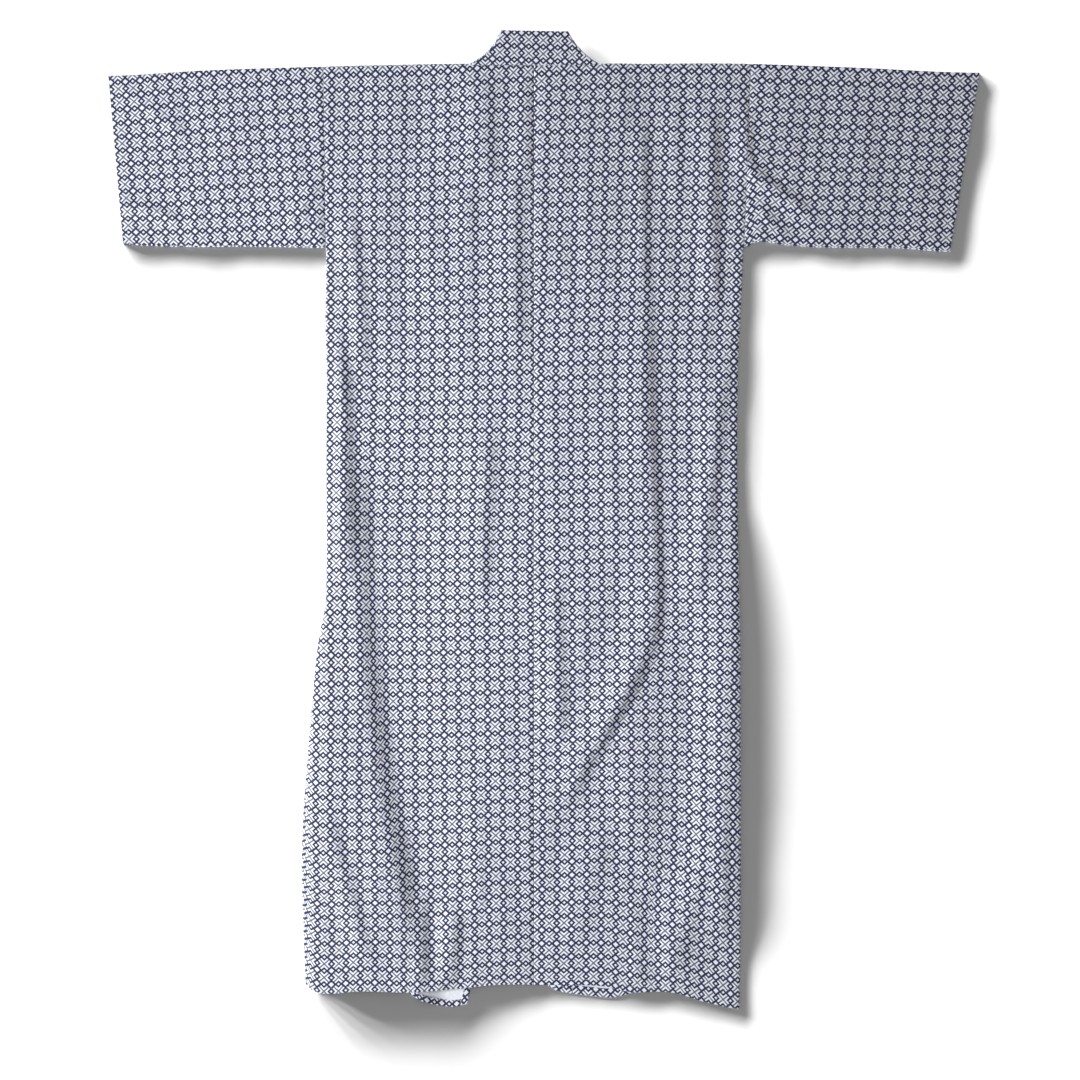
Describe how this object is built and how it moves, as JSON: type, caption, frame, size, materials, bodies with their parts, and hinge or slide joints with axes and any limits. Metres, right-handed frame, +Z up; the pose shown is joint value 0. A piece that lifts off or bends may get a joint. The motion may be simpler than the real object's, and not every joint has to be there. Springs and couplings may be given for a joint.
{
  "type": "cotton yukata robe",
  "caption": "Unbelted cotton bath robe of the yukata cut, laid out flat on its fronts with its back up: short tube sleeves, straight body and folded collar band in an indigo diamond print.",
  "frame": {"origin": "centre of the bounding box in X and Y, on the surface that the robe lies on", "axes": "+Y towards the collar, +Z up and away from the surface, +X towards the sleeve on the right as seen from above"},
  "size_m": [1.306, 1.4708, 0.0155],
  "materials": {
    "printed_cotton": "matt plain-weave cotton, white ground with a small navy diamond print",
    "collar_cotton": "the same printed cotton, doubled"
  },
  "bodies": {
    "root": {"Body_left": "printed_cotton", "Body_right": "printed_cotton", "Overlap_left": "printed_cotton", "Overlap_right": "printed_cotton", "Sleeve_left": "printed_cotton", "Sleeve_right": "printed_cotton", "Collar": "collar_cotton"}
  },
  "joints": []
}
